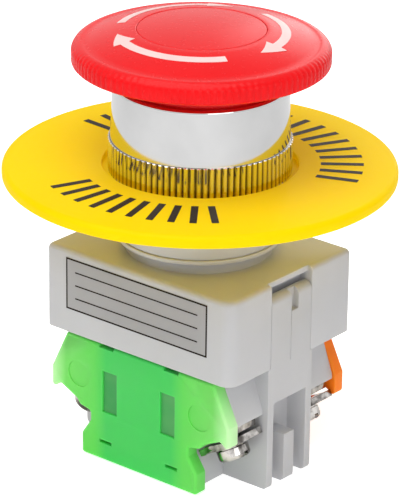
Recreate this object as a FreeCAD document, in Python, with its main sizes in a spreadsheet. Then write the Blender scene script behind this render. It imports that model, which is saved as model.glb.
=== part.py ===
import FreeCAD, Part
import math
import os
import re
import Sketcher

# Emergency stop push button for a 22 mm panel hole, in millimetres.
# The Z axis is the push axis. Z = 0 is the underside of the legend plate, where the panel lies.
# The front of the contact base, with the label field, faces -Y.

sizes = {
    # mushroom head
    "head_radius": 19.87,
    "head_bottom": 18.3,
    "rim_height": 2.1,
    "rim_wall": 1.95,
    "rim_edge_round": 0.5,
    "shoulder_inset": 2.02,
    "shoulder_rise": 1.2,
    "shoulder_round": 1.7,
    "dome_rise": 2,
    "dome_round": 40,
    "hollow_depth": 1.9,
    "rib_count": 108,
    "rib_depth": 0.3,
    "rib_width": 0.8,
    # disc on top of the head, and the screw under it
    "disc_radius": 9.85,
    "disc_gap": 0.1,
    "disc_thickness": 1.15,
    "disc_crown": 0.6,
    "disc_edge_round": 0.35,
    "screw_radius": 1.75,
    "screw_length": 9,
    "screw_head_radius": 3.2,
    "screw_head_height": 1.2,
    "screw_slot_width": 0.8,
    "screw_slot_depth": 0.6,
    # stem
    "hub_radius": 12.5,
    "hub_wall": 1.5,
    "hub_bottom": 11.2,
    "hub_crown": 3.2,
    "shaft_radius": 4.5,
    "tail_radius": 3,
    "tail_end": 0.3,
    "push_travel": 4.5,
    "twist_angle": 45,
    # clearances
    "thread_clearance": 0.05,
    "sliding_clearance": 0.05,
    "running_gap": 0.1,
    "loose_gap": 0.3,
    "hub_clearance": 0.4,
    # bezel ring
    "bezel_radius": 13.65,
    "collar_flare": 0.3,
    "bezel_top": 15.15,
    "bezel_edge_round": 0.5,
    "knurl_radius": 14.25,
    "knurl_top": 6.25,
    "knurl_edge": 0.15,
    "flute_count": 88,
    "flute_depth": 0.28,
    "flute_width": 0.8,
    # legend plate and the rings under it
    "plate_radius": 30.6,
    "plate_thickness": 2,
    "plate_top_round": 0.9,
    "plate_low_round": 0.5,
    "plate_recess_radius": 15.2,
    "plate_recess_depth": 1,
    "gasket_radius": 13,
    "gasket_height": 1.5,
    "gasket_seat_depth": 0.3,
    "spacer_radius": 12.75,
    "spacer_edge_round": 0.3,
    "upper_spacer_height": 3.9,
    "lower_spacer_height": 3.9,
    "washer_radius": 12.95,
    "washer_height": 0.7,
    # threaded neck
    "neck_radius": 10.9,
    "neck_bore": 8.6,
    "neck_top": 6,
    "neck_flange_radius": 12.2,
    "neck_flange_height": 2,
    "ledge_top": -1,
    "ledge_height": 1.5,
    "ledge_bore": 5,
    # return spring, release cam and its pins
    "return_wire": 0.5,
    "return_coil_radius": 6.6,
    "return_turns": 5,
    "cam_radius": 8.2,
    "cam_top": -3.5,
    "cam_track_depth": 1.7,
    "cam_track_margin": 10,
    "cam_pin_radius": 0.8,
    "cam_pin_rise": 2.3,
    "guide_pin_radius": 1,
    "guide_pin_level": -11,
    "guide_pin_reach": 1.5,
    # pusher and its clip
    "pusher_hub_radius": 6,
    "pusher_hub_height": 1.3,
    "pusher_height": 2.2,
    "pusher_half_width": 4,
    "pusher_half_length": 11,
    "pusher_round": 2.4,
    "clip_radius": 5,
    "clip_height": 0.8,
    "clip_groove_depth": 0.6,
    "clip_mouth": 3,
    # label block, the upper housing
    "block_half_x": 18.6,
    "block_half_y": 14.8,
    "block_height": 14,
    "block_near_corner": 2.2,
    "block_corner": 0.8,
    "block_edge_round": 0.9,
    "block_roof": 2,
    "block_side_wall": 3.2,
    "block_end_wall": 1.7,
    "boss_radius": 11.5,
    "boss_height": 2,
    "slot_half_width": 4.95,
    "slot_depth": 2.4,
    "slot_lip_depth": 1,
    "slot_lip_height": 1,
    # snap arms in the end slots
    "arm_gap": 0.8,
    "arm_drop": 2.4,
    "arm_round": 1.2,
    "arm_notch_width": 1.6,
    "arm_notch_height": 3.4,
    "arm_notch_depth": 1,
    # contact base
    "base_height": 20.5,
    "rail_half_y": 5.4,
    "fin_thickness": 1.4,
    "pocket_depth": 3.6,
    "pocket_top_drop": 6.1,
    "post_drop": 12.35,
    "post_half_width": 1.25,
    "terminal_bay": 8.7,
    "chamber_wall": 1.2,
    "chamber_back": 1.1,
    "chamber_floor": 1.6,
    "deck_height": 1.5,
    "roof_end_gap": 1.05,
    "roof_height": 7.75,
    "roof_edge": 0.75,
    "roof_land": 0.5,
    # covers
    "cover_setback": 0.4,
    "cover_depth": 2.3,
    "cover_skin": 1.2,
    "cover_top_gap": 0.4,
    "cover_foot_gap": 0.2,
    "cover_corner": 0.5,
    "cover_face_round": 0.5,
    "cover_top_inset": 3.7,
    "ear_inset": 0.5,
    "ear_top_drop": 6.6,
    "ear_low_drop": 10.5,
    "notch_inset": 2.3,
    "notch_drop": 9.3,
    "hip_reach": 3,
    "hip_drop": 10.9,
    "thigh_reach": 2.3,
    "thigh_drop": 11.8,
    "waist_reach": 0.15,
    "waist_top_drop": 12.2,
    "waist_low_drop": 13.8,
    "foot_reach": 1.9,
    "foot_drop": 16.4,
    "window_margin": 1.3,
    "window_width": 2.97,
    "window_top_drop": 4.4,
    "window_low_drop": 11.5,
    "window_depth": 0.4,
    "vent_margin": 1.95,
    "vent_width": 2.5,
    "vent_height": 0.6,
    "vent_drop": 17,
    "vent_depth": 0.9,
    "pip_inset": 6.3,
    "pip_drop": 6.4,
    "pip_radius": 2.2,
    "pip_depth": 0.2,
    "catch_margin": 2.1,
    "catch_width": 3,
    "catch_height": 0.6,
    # plungers, bridges and their springs
    "plunger_half_x": 2.2,
    "plunger_inset": 0.7,
    "plunger_foot": 0.85,
    "bridge_width": 2.6,
    "bridge_height": 0.8,
    "tip_radius": 1,
    "tip_height": 0.5,
    "contact_gap": 0.05,
    "contact_wire": 0.25,
    "contact_coil_radius": 1.55,
    "contact_turns": 4,
    # terminals
    "strip_end_gap": 1.4,
    "strip_margin": 0.2,
    "strip_width": 4.2,
    "strip_height": 1.1,
    "closed_strip_drop": 6.9,
    "terminal_tilt": 27,
    "terminal_offset": 3.4,
    "terminal_depth": 3.3,
    "wire_gap": 0.85,
    "clamp_inner_reach": 4,
    "clamp_outer_reach": 4.3,
    "clamp_half_y": 3.15,
    "clamp_height": 1.1,
    "clamp_seat": 2.6,
    "clamp_rise": 0.3,
    "clamp_lip": 1,
    "clamp_lip_ramp": 0.5,
    "clamp_lip_drop": 0.25,
    "lock_washer_radius": 2.2,
    "lock_washer_height": 0.35,
    "clamp_screw_radius": 1.75,
    "clamp_screw_head_radius": 2.6,
    "clamp_screw_head_height": 1.85,
    "clamp_screw_edge_round": 0.7,
    "clamp_screw_end": 1,
    "clamp_slot_width": 0.8,
    "clamp_slot_depth": 0.8,
}

doc = FreeCAD.newDocument("EmergencyStop")
sheet = doc.addObject("Spreadsheet::Sheet", "Sizes")
for row, (alias, number) in enumerate(sizes.items(), 1):
    sheet.set(f"A{row}", alias)
    sheet.set(f"B{row}", str(number))
    sheet.setAlias(f"B{row}", alias)
doc.recompute()

# Levels along the axis, from the panel down, as expressions of the sheet.
gasket_low = "-gasket_height"
upper_low = f"({gasket_low} - upper_spacer_height)"
lower_low = f"({upper_low} - lower_spacer_height)"
washer_low = f"({lower_low} - washer_height)"
block_top = f"({washer_low} - boss_height)"
block_low = f"({block_top} - block_height)"
base_low = f"({block_low} - base_height)"
cavity_top = f"({block_top} - block_roof)"
neck_low = f"({cavity_top} - neck_flange_height)"
pusher_top = f"({neck_low} - running_gap)"
pusher_plate_top = f"({pusher_top} - pusher_hub_height)"
pusher_low = f"({pusher_plate_top} - pusher_height)"
clip_low = f"({pusher_low} - clip_height)"
tail_low = f"({clip_low} - tail_end)"
plunger_top = f"({pusher_low} - running_gap)"
chamber_top = f"({block_low} - deck_height)"
chamber_low = f"({base_low} + chamber_floor)"
closed_strip_top = f"({block_low} - closed_strip_drop)"
closed_strip_low = f"({closed_strip_top} - strip_height)"
closed_top = f"({closed_strip_low} - tip_height - contact_gap - tip_height)"
closed_low = f"({closed_top} - bridge_height)"
plunger_low = f"({closed_low} - plunger_foot)"
cover_top = f"({block_low} - cover_top_gap)"
cover_low = f"({base_low} + cover_foot_gap)"

# Levels of the head, from the panel up.
ceiling = "(head_bottom + hollow_depth)"
rim_top = "(head_bottom + rim_height)"
shoulder_top = f"({rim_top} + shoulder_rise)"
disc_edge_top = f"({shoulder_top} + dome_rise)"
disc_seat = f"({disc_edge_top} - disc_thickness)"
counterbore_floor = f"({disc_seat} - screw_head_height)"
screw_low = f"({counterbore_floor} - screw_length)"
hub_ceiling = f"({ceiling} - hub_crown)"
plate_floor = "(plate_thickness - plate_recess_depth)"

# Widths shared by several pieces.
neck_hole = "(neck_radius + loose_gap)"
cavity_half_y = "(block_half_y - block_side_wall)"
slot_back = "(block_half_x - slot_depth)"
cavity_half_x = f"({slot_back} - block_end_wall)"
cover_face = "(block_half_y - cover_setback)"
cover_back = f"({cover_face} - cover_depth)"
chamber_outer_x = "(block_half_x - terminal_bay)"
chamber_half_x = f"({chamber_outer_x} - chamber_wall)"
chamber_back_y = "(rail_half_y + chamber_back)"
plunger_inner_y = f"({chamber_back_y} + plunger_inset)"
plunger_outer_y = f"({cover_back} - plunger_inset)"
plunger_mid_y = f"(({chamber_back_y} + {cover_back}) / 2)"
leg_outer = f"({chamber_half_x} - loose_gap)"
leg_inner = f"({leg_outer} - strip_height)"
bridge_half_x = f"({leg_inner} - loose_gap)"
tip_centre = f"({bridge_half_x} - tip_radius)"
strip_inner = f"({tip_centre} - tip_radius - strip_margin)"
contact_nub = "(contact_coil_radius - contact_wire - loose_gap)"
pin_level = f"({pusher_top} + cam_pin_rise)"
roof_half_x = "(block_half_x - roof_end_gap)"
strip_end = "(block_half_x - strip_end_gap)"
terminal_x = f"({chamber_outer_x} + terminal_offset)"
terminal_y = f"({cover_back} - terminal_depth)"


def strip_level(x):
    """Upper side of a terminal strip, which rises outwards under the sloping roof."""
    return f"({block_low} - roof_height - ({roof_half_x} - {x}) * tan(terminal_tilt * 1deg))"


strip_entry = strip_level(leg_outer)
open_low = f"({strip_entry} + tip_height + push_travel + contact_gap + tip_height)"

# Levels along a tilted terminal screw, from the underside of its strip.
terminal_z = f"({strip_level(terminal_x)} - strip_height)"
clamp_top = "(-wire_gap)"
clamp_low = f"({clamp_top} - clamp_height)"
lock_washer_low = f"({clamp_low} - lock_washer_height)"
clamp_head_low = f"({lock_washer_low} - clamp_screw_head_height)"

sub_parts = []


def cells(text):
    """The expression with each sheet alias, a name with an underscore, given its sheet."""
    return re.sub(r"\b([a-z]+_\w+)\b", r"Sizes.\1", text)


def value(text):
    return float(sheet.evalExpression(text))


def new_body(label):
    body = doc.addObject("PartDesign::Body", label)
    body.Label = label
    sub_parts.append(body)
    return body


def origin_feature(body, role):
    return next(part for part in body.Origin.OriginFeatures if part.Role == role)


def new_sketch(body, plane, offset):
    sketch = body.newObject("Sketcher::SketchObject", "Sketch")
    sketch.AttachmentSupport = (origin_feature(body, plane), [""])
    sketch.MapMode = "FlatFace"
    sketch.setExpression("AttachmentOffset.Base.z", cells(offset))
    return sketch


def bind(sketch, constraint, text):
    index = sketch.addConstraint(constraint)
    sketch.setExpression(f"Constraints[{index}]", cells(text))


def arc_between(start, end, radius):
    """An arc from start to end that bulges to the right of that direction, or left if radius < 0."""
    chord = end - start
    across = FreeCAD.Vector(-chord.y, chord.x, 0).normalize()
    depth = math.sqrt(radius * radius - chord.Length * chord.Length / 4)
    side = math.copysign(1, radius)
    centre = (start + end) / 2 + across * depth * side
    middle = centre - across * abs(radius) * side
    return Part.Arc(start, middle, end)


def outline(body, plane, points, offset="0"):
    """A closed sketch through points of (x, y) expressions, anticlockwise.

    A third item is the radius of the arc that reaches the point, with a minus sign if it is hollow.
    """
    sketch = new_sketch(body, plane, offset)
    corners = [FreeCAD.Vector(value(point[0]), value(point[1]), 0) for point in points]
    ends = []
    for index, point in enumerate(points):
        start = corners[index - 1]
        if len(point) == 3:
            edge = arc_between(start, corners[index], value(point[2]))
        else:
            edge = Part.LineSegment(start, corners[index])
        curve = sketch.addGeometry(edge)
        forward = sketch.Geometry[curve].StartPoint.isEqual(start, 1e-6)
        ends.append((1, 2) if forward else (2, 1))
    for index, point in enumerate(points):
        following = (index + 1) % len(points)
        end = ends[index][1]
        sketch.addConstraint(Sketcher.Constraint("Coincident", index, end, following, ends[following][0]))
        bind(sketch, Sketcher.Constraint("DistanceX", -1, 1, index, end, corners[index].x), point[0])
        bind(sketch, Sketcher.Constraint("DistanceY", -1, 1, index, end, corners[index].y), point[1])
        if len(point) == 3:
            bind(sketch, Sketcher.Constraint("Radius", index, abs(value(point[2]))), point[2].lstrip("-"))
    return sketch


def circle(body, plane, x, y, radius, offset="0"):
    sketch = new_sketch(body, plane, offset)
    centre = FreeCAD.Vector(value(x), value(y), 0)
    sketch.addGeometry(Part.Circle(centre, FreeCAD.Vector(0, 0, 1), value(radius)))
    bind(sketch, Sketcher.Constraint("DistanceX", -1, 1, 0, 3, centre.x), x)
    bind(sketch, Sketcher.Constraint("DistanceY", -1, 1, 0, 3, centre.y), y)
    bind(sketch, Sketcher.Constraint("Radius", 0, value(radius)), radius)
    return sketch


def extruded(body, kind, plane, shape, low, high):
    """A Pad or Pocket between two levels across the plane. A shape is a list of points or (x, y, radius)."""
    forward = plane != "XZ_Plane"
    level = low if (kind == "Pad") == forward else high
    offset = level if forward else f"-({level})"
    if isinstance(shape, list):
        sketch = outline(body, plane, shape, offset)
    else:
        sketch = circle(body, plane, *shape, offset)
    feature = body.newObject(f"PartDesign::{kind}", kind)
    feature.Profile = sketch
    feature.setExpression("Length", cells(f"({high}) - ({low})"))
    return feature


def padded(body, plane, shape, low, high):
    return extruded(body, "Pad", plane, shape, low, high)


def pocketed(body, plane, shape, low, high):
    return extruded(body, "Pocket", plane, shape, low, high)


def turned(label, points):
    body = new_body(label)
    sketch = outline(body, "XZ_Plane", points)
    solid = body.newObject("PartDesign::Revolution", "Revolution")
    solid.Profile = sketch
    solid.ReferenceAxis = (sketch, ["V_Axis"])
    solid.Angle = 360
    return body


def repeated_round(body, feature, count):
    """Equal copies of a feature all round the Z axis."""
    pattern = body.newObject("PartDesign::PolarPattern", "PolarPattern")
    pattern.Originals = [feature]
    pattern.Axis = (origin_feature(body, "Z_Axis"), [""])
    pattern.Angle = 360
    pattern.setExpression("Occurrences", cells(count))
    body.Tip = pattern


def rounded(body, radius, wanted):
    """A fillet on the edges of the body so far that wanted accepts."""
    doc.recompute()
    base = body.Tip
    names = [f"Edge{number}" for number, edge in enumerate(base.Shape.Edges, 1) if wanted(edge)]
    fillet = body.newObject("PartDesign::Fillet", "Fillet")
    fillet.Base = (base, names)
    fillet.setExpression("Radius", cells(radius))


def tilt(item, name, end, side):
    """Move a placement from the axis to a terminal, with its Z along the terminal screw."""
    turn = FreeCAD.Rotation(FreeCAD.Vector(0, -end, 0), value("terminal_tilt"))
    setattr(item, name, FreeCAD.Placement(FreeCAD.Vector(), turn))
    item.setExpression(f"{name}.Rotation.Angle", cells("terminal_tilt * 1deg"))
    item.setExpression(f"{name}.Base.x", cells(signed(end, terminal_x)))
    item.setExpression(f"{name}.Base.y", cells(signed(side, terminal_y)))
    item.setExpression(f"{name}.Base.z", cells(terminal_z))


def tilted_hole(body, end, side, radius, reach):
    """A hole along a terminal screw, on both sides of the strip's underside."""
    sketch = circle(body, "XY_Plane", "0", "0", radius)
    tilt(sketch, "AttachmentOffset", end, side)
    hole = body.newObject("PartDesign::Pocket", "Pocket")
    hole.Profile = sketch
    hole.Midplane = True
    hole.setExpression("Length", cells(f"2 * ({reach})"))


def rectangle(left, right, low, high):
    return [(left, low), (right, low), (right, high), (left, high)]


def rounded_rectangle(half_x, half_y, corner, near_corner):
    """Outline centred on the axis, with round corners. The near corner is the one at +X, -Y."""
    flat_x = f"({half_x} - {corner})"
    flat_y = f"({half_y} - {corner})"
    return [
        (f"-{flat_x}", f"-{half_y}", corner),
        (f"{half_x} - {near_corner}", f"-{half_y}"),
        (half_x, f"{near_corner} - {half_y}", near_corner),
        (half_x, flat_y),
        (flat_x, half_y, corner),
        (f"-{flat_x}", half_y),
        (f"-{half_x}", flat_y, corner),
        (f"-{half_x}", f"-{flat_y}"),
    ]


def mirrored(points):
    """The outline on the other side of the vertical axis, still anticlockwise."""
    count = len(points)
    flipped = []
    for index in range(count - 1, -1, -1):
        arc = points[(index + 1) % count][2:]
        flipped.append((f"-({points[index][0]})", points[index][1], *arc))
    return flipped


def span(side, near, far):
    """The low and high ends of a stretch from near to far of the middle, on side 1 or -1."""
    return (near, far) if side > 0 else (f"-({far})", f"-({near})")


def signed(side, text):
    return text if side > 0 else f"-({text})"


def ring(label, inner, outer, low, high):
    return turned(label, rectangle(inner, outer, low, high))


def soft_ring(label, inner, outer, low, high, edge):
    return turned(label, [
        (inner, low),
        (f"{outer} - {edge}", low),
        (outer, f"{low} + {edge}", edge),
        (outer, f"{high} - {edge}"),
        (f"{outer} - {edge}", high, edge),
        (inner, high),
    ])


def fluted(body, radius, depth, width, low, high, count):
    """V grooves along the axis, all round a cylinder."""
    groove = [
        (f"{radius} - {depth}", "0"),
        (f"{radius} + {depth}", f"-{width}"),
        (f"{radius} + {depth}", width),
    ]
    repeated_round(body, pocketed(body, "XY_Plane", groove, low, high), count)


def coil_spring(label, x, y, low, high, coil_radius, wire, turns):
    """A compression spring between two seats, of six-sided wire."""
    start = value(low) + value(wire)
    height = value(high) - value(wire) - start
    path = Part.makeHelix(height / value(turns), height, value(coil_radius))
    corners = []
    for number in range(7):
        angle = math.radians(60 * number)
        reach = value(coil_radius) + value(wire) * math.cos(angle)
        corners.append(FreeCAD.Vector(reach, 0, value(wire) * math.sin(angle)))
    section = Part.makePolygon(corners)
    spring = doc.addObject("Part::Feature", label)
    spring.Label = label
    spring.Shape = Part.Wire(path.Edges).makePipeShell([section], True, True)
    spring.Placement = FreeCAD.Placement(FreeCAD.Vector(value(x), value(y), start), FreeCAD.Rotation())
    sub_parts.append(spring)


def mushroom_cap():
    hole = "(screw_radius + thread_clearance)"
    counterbore = "(screw_head_radius + thread_clearance)"
    recess = "(disc_radius + disc_gap)"
    body = turned("mushroom_cap", [
        (hole, ceiling),
        ("head_radius - rim_wall", ceiling),
        ("head_radius - rim_wall", "head_bottom"),
        ("head_radius - rim_edge_round", "head_bottom"),
        ("head_radius", "head_bottom + rim_edge_round", "rim_edge_round"),
        ("head_radius", rim_top),
        ("head_radius - shoulder_inset", shoulder_top, "shoulder_round"),
        (recess, disc_edge_top, "dome_round"),
        (recess, disc_seat),
        (counterbore, disc_seat),
        (counterbore, counterbore_floor),
        (hole, counterbore_floor),
    ])
    fluted(body, "head_radius", "rib_depth", "rib_width", "head_bottom", shoulder_top, "rib_count")


def cap_disc():
    edge = "(disc_radius - disc_edge_round)"
    crown = f"(({edge} * {edge} + disc_crown * disc_crown) / (2 * disc_crown))"
    turned("cap_disc", [
        ("0", disc_seat),
        ("disc_radius", disc_seat),
        ("disc_radius", f"{disc_edge_top} - disc_edge_round"),
        (edge, disc_edge_top, "disc_edge_round"),
        ("0", f"{disc_edge_top} + disc_crown", crown),
    ])


def cap_screw():
    body = turned("cap_screw", [
        ("0", screw_low),
        ("screw_radius", screw_low),
        ("screw_radius", counterbore_floor),
        ("screw_head_radius", counterbore_floor),
        ("screw_head_radius", disc_seat),
        ("0", disc_seat),
    ])
    slot = rectangle("-screw_head_radius", "screw_head_radius", "-screw_slot_width / 2", "screw_slot_width / 2")
    pocketed(body, "XY_Plane", slot, f"{disc_seat} - screw_slot_depth", disc_seat)


def push_stem():
    groove = "(tail_radius - clip_groove_depth)"
    bore = "(screw_radius + thread_clearance)"
    body = turned("push_stem", [
        ("0", tail_low),
        ("tail_radius", tail_low),
        ("tail_radius", clip_low),
        (groove, clip_low),
        (groove, pusher_low),
        ("tail_radius", pusher_low),
        ("tail_radius", pusher_top),
        ("shaft_radius", pusher_top),
        ("shaft_radius", hub_ceiling),
        ("hub_radius - hub_wall", hub_ceiling),
        ("hub_radius - hub_wall", "hub_bottom"),
        ("hub_radius", "hub_bottom"),
        ("hub_radius", ceiling),
        (bore, ceiling),
        (bore, f"{screw_low} - loose_gap"),
        ("0", f"{screw_low} - loose_gap"),
    ])
    pin_hole = ("0", pin_level, "cam_pin_radius + thread_clearance")
    pocketed(body, "XZ_Plane", pin_hole, "-shaft_radius", "shaft_radius")


def bezel_ring():
    thread = "(neck_radius + thread_clearance)"
    bore = "(hub_radius + hub_clearance)"
    body = turned("bezel_ring", [
        (thread, plate_floor),
        ("knurl_radius - knurl_edge", plate_floor),
        ("knurl_radius", f"{plate_floor} + knurl_edge"),
        ("knurl_radius", "knurl_top - knurl_edge"),
        ("knurl_radius - knurl_edge", "knurl_top"),
        ("bezel_radius + collar_flare", "knurl_top"),
        ("bezel_radius", "bezel_top - bezel_edge_round"),
        ("bezel_radius - bezel_edge_round", "bezel_top", "bezel_edge_round"),
        (bore, "bezel_top"),
        (bore, "knurl_top"),
        (thread, "knurl_top"),
    ])
    fluted(body, "knurl_radius", "flute_depth", "flute_width", plate_floor, "knurl_top", "flute_count")


def legend_plate():
    seat = "(gasket_radius + loose_gap)"
    turned("legend_plate", [
        (neck_hole, "gasket_seat_depth"),
        (seat, "gasket_seat_depth"),
        (seat, "0"),
        ("plate_radius - plate_low_round", "0"),
        ("plate_radius", "plate_low_round", "plate_low_round"),
        ("plate_radius", "plate_thickness - plate_top_round"),
        ("plate_radius - plate_top_round", "plate_thickness", "plate_top_round"),
        ("plate_recess_radius", "plate_thickness"),
        ("plate_recess_radius", plate_floor),
        (neck_hole, plate_floor),
    ])


def panel_rings():
    ring("panel_gasket", neck_hole, "gasket_radius", gasket_low, "gasket_seat_depth")
    edge = "spacer_edge_round"
    soft_ring("upper_spacer", neck_hole, "spacer_radius", upper_low, gasket_low, edge)
    soft_ring("lower_spacer", neck_hole, "spacer_radius", lower_low, upper_low, edge)
    ring("seat_washer", neck_hole, "washer_radius", washer_low, lower_low)


def operator_neck():
    ledge_low = "(ledge_top - ledge_height)"
    body = turned("operator_neck", [
        ("neck_bore", neck_low),
        ("neck_flange_radius", neck_low),
        ("neck_flange_radius", cavity_top),
        ("neck_radius", cavity_top),
        ("neck_radius", "neck_top"),
        ("neck_bore", "neck_top"),
        ("neck_bore", "ledge_top"),
        ("ledge_bore", "ledge_top"),
        ("ledge_bore", ledge_low),
        ("neck_bore", ledge_low),
    ])
    pin_hole = ("0", "guide_pin_level", "guide_pin_radius + thread_clearance")
    pocketed(body, "YZ_Plane", pin_hole, "-neck_radius", "neck_radius")


def release_cam():
    """Sleeve on the stem whose two tracks let the guide pins slide and turn."""
    bore = "(shaft_radius + sliding_clearance)"
    cam_low = f"({pusher_top} + running_gap)"
    body = ring("release_cam", bore, "cam_radius", cam_low, "cam_top")
    reach = "(guide_pin_radius + loose_gap)"
    floor = "cam_radius - cam_track_depth"
    outside = "cam_radius + cam_track_depth"
    track = outline(body, "XZ_Plane", rectangle(
        floor, outside, f"guide_pin_level - {reach}", f"guide_pin_level + push_travel + {reach}"))
    turn = FreeCAD.Rotation(FreeCAD.Vector(0, 1, 0), value("twist_angle / 2"))
    track.AttachmentOffset = FreeCAD.Placement(FreeCAD.Vector(), turn)
    track.setExpression("AttachmentOffset.Rotation.Angle", cells("twist_angle / 2 * 1deg"))
    groove = body.newObject("PartDesign::Groove", "Groove")
    groove.Profile = track
    groove.ReferenceAxis = (track, ["V_Axis"])
    groove.Midplane = True
    groove.setExpression("Angle", cells("(twist_angle + 2 * cam_track_margin) * 1deg"))
    repeated_round(body, groove, "2")
    pin_hole = ("0", pin_level, "cam_pin_radius + thread_clearance")
    pocketed(body, "XZ_Plane", pin_hole, "-cam_radius", "cam_radius")


def pins():
    half = "(cam_radius - loose_gap)"
    padded(new_body("cam_pin"), "XZ_Plane", ("0", pin_level, "cam_pin_radius"), f"-{half}", half)
    for side, name in ((-1, "left"), (1, "right")):
        low, high = span(side, "neck_bore - guide_pin_reach", "neck_radius")
        body = new_body(f"{name}_guide_pin")
        padded(body, "YZ_Plane", ("0", "guide_pin_level", "guide_pin_radius"), low, high)


def pusher():
    body = new_body("pusher")
    plan = rounded_rectangle("pusher_half_width", "pusher_half_length", "pusher_round", "pusher_round")
    padded(body, "XY_Plane", plan, pusher_low, pusher_plate_top)
    padded(body, "XY_Plane", ("0", "0", "pusher_hub_radius"), pusher_plate_top, pusher_top)
    pocketed(body, "XY_Plane", ("0", "0", "tail_radius + sliding_clearance"), pusher_low, pusher_top)


def stem_clip():
    groove = "(tail_radius - clip_groove_depth + sliding_clearance)"
    body = new_body("stem_clip")
    padded(body, "XY_Plane", ("0", "0", "clip_radius"), clip_low, pusher_low)
    pocketed(body, "XY_Plane", ("0", "0", groove), clip_low, pusher_low)
    mouth = rectangle("0", "clip_radius", "-clip_mouth / 2", "clip_mouth / 2")
    pocketed(body, "XY_Plane", mouth, clip_low, pusher_low)


def base_housing():
    body = new_body("base_housing")
    plan = rounded_rectangle("block_half_x", "block_half_y", "block_corner", "block_near_corner")
    padded(body, "XY_Plane", plan, block_low, block_top)
    level = value(block_top)

    def top_rim(edge):
        return abs(edge.BoundBox.ZMin - level) + abs(edge.BoundBox.ZMax - level) < 1e-6

    rounded(body, "block_edge_round", top_rim)
    cavity = rectangle(f"-{cavity_half_x}", cavity_half_x, f"-{cavity_half_y}", cavity_half_y)
    pocketed(body, "XY_Plane", cavity, block_low, cavity_top)
    flange_seat = ("0", "0", "neck_flange_radius + running_gap")
    pocketed(body, "XY_Plane", flange_seat, neck_low, cavity_top)
    lip_low = f"({block_top} - slot_lip_height)"
    slot = rectangle("-slot_half_width", "slot_half_width", block_low, lip_low)
    mouth = rectangle("-slot_half_width", "slot_half_width", lip_low, block_top)
    for side in (-1, 1):
        pocketed(body, "YZ_Plane", slot, *span(side, slot_back, "block_half_x"))
        pocketed(body, "YZ_Plane", mouth, *span(side, "block_half_x - slot_lip_depth", "block_half_x"))
    padded(body, "XY_Plane", ("0", "0", "boss_radius"), block_top, washer_low)
    pocketed(body, "XY_Plane", ("0", "0", "neck_radius + running_gap"), cavity_top, washer_low)


def snap_arms():
    """Two arms side by side in each end slot, standing on the contact base. The rear one is notched."""
    top = f"({block_top} - arm_drop)"
    profile = [
        (f"{slot_back} + arm_gap", block_low),
        ("block_half_x", block_low),
        ("block_half_x", f"{top} - arm_round"),
        ("block_half_x - arm_round", top, "arm_round"),
        (f"{slot_back} + arm_gap", top),
    ]
    side = "(running_gap / 2)"
    notch = rectangle(side, f"{side} + arm_notch_width", f"{top} - arm_notch_height", top)
    for end, end_name in ((-1, "left"), (1, "right")):
        for half, half_name in ((-1, "front"), (1, "rear")):
            body = new_body(f"{end_name}_{half_name}_arm")
            width = span(half, side, "slot_half_width - running_gap")
            padded(body, "XZ_Plane", profile if end > 0 else mirrored(profile), *width)
        pocketed(body, "YZ_Plane", notch, *span(end, "block_half_x - arm_notch_depth", "block_half_x"))


def contact_base():
    body = new_body("contact_base")
    arm = [
        ("block_half_x", "-rail_half_y"),
        ("block_half_x", "rail_half_y"),
        (chamber_outer_x, "rail_half_y"),
        (chamber_outer_x, cover_back),
    ]
    right = [(chamber_outer_x, f"-{cover_back}"), (chamber_outer_x, "-rail_half_y")] + arm
    padded(body, "XY_Plane", right + mirrored(right), base_low, block_low)
    roof = [
        (chamber_outer_x, strip_level(chamber_outer_x)),
        (roof_half_x, f"{block_low} - roof_height"),
        (roof_half_x, f"{block_low} - roof_height + roof_edge"),
        (f"{cavity_half_x} + roof_land", block_low),
    ]
    padded(body, "XZ_Plane", roof + mirrored(roof), f"-{cover_back}", cover_back)
    post_top = f"({block_low} - post_drop)"
    pocket_top = f"({block_low} - pocket_top_drop)"
    pocket_half = "(rail_half_y - fin_thickness)"
    end_pocket = [
        (f"-{pocket_half}", base_low),
        ("-post_half_width", base_low),
        ("-post_half_width", post_top),
        ("post_half_width", post_top),
        ("post_half_width", base_low),
        (pocket_half, base_low),
        (pocket_half, pocket_top),
        (f"-{pocket_half}", pocket_top),
    ]
    plunger_hole = "(plunger_half_x + loose_gap)"
    strip_inner_y = f"({terminal_y} - strip_width / 2 - sliding_clearance)"
    strip_slot = [
        (chamber_half_x, f"{strip_level(chamber_half_x)} - strip_height"),
        (chamber_outer_x, f"{strip_level(chamber_outer_x)} - strip_height"),
        (chamber_outer_x, strip_level(chamber_outer_x)),
        (chamber_half_x, strip_level(chamber_half_x)),
    ]
    for side in (-1, 1):
        pocketed(body, "YZ_Plane", end_pocket, *span(side, "block_half_x - pocket_depth", "block_half_x"))
        chamber = rectangle(f"-{chamber_half_x}", chamber_half_x, chamber_low, chamber_top)
        pocketed(body, "XZ_Plane", chamber, *span(side, chamber_back_y, cover_back))
        passage = rectangle(f"-{plunger_hole}", plunger_hole, chamber_top, block_low)
        pocketed(body, "XZ_Plane", passage, *span(side, f"{plunger_inner_y} - loose_gap", cover_back))
        for end in (-1, 1):
            slot = strip_slot if end > 0 else mirrored(strip_slot)
            pocketed(body, "XZ_Plane", slot, *span(side, strip_inner_y, cover_back))
            reach = "strip_height + clamp_screw_end + loose_gap"
            tilted_hole(body, end, side, "clamp_screw_radius + loose_gap", reach)


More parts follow.
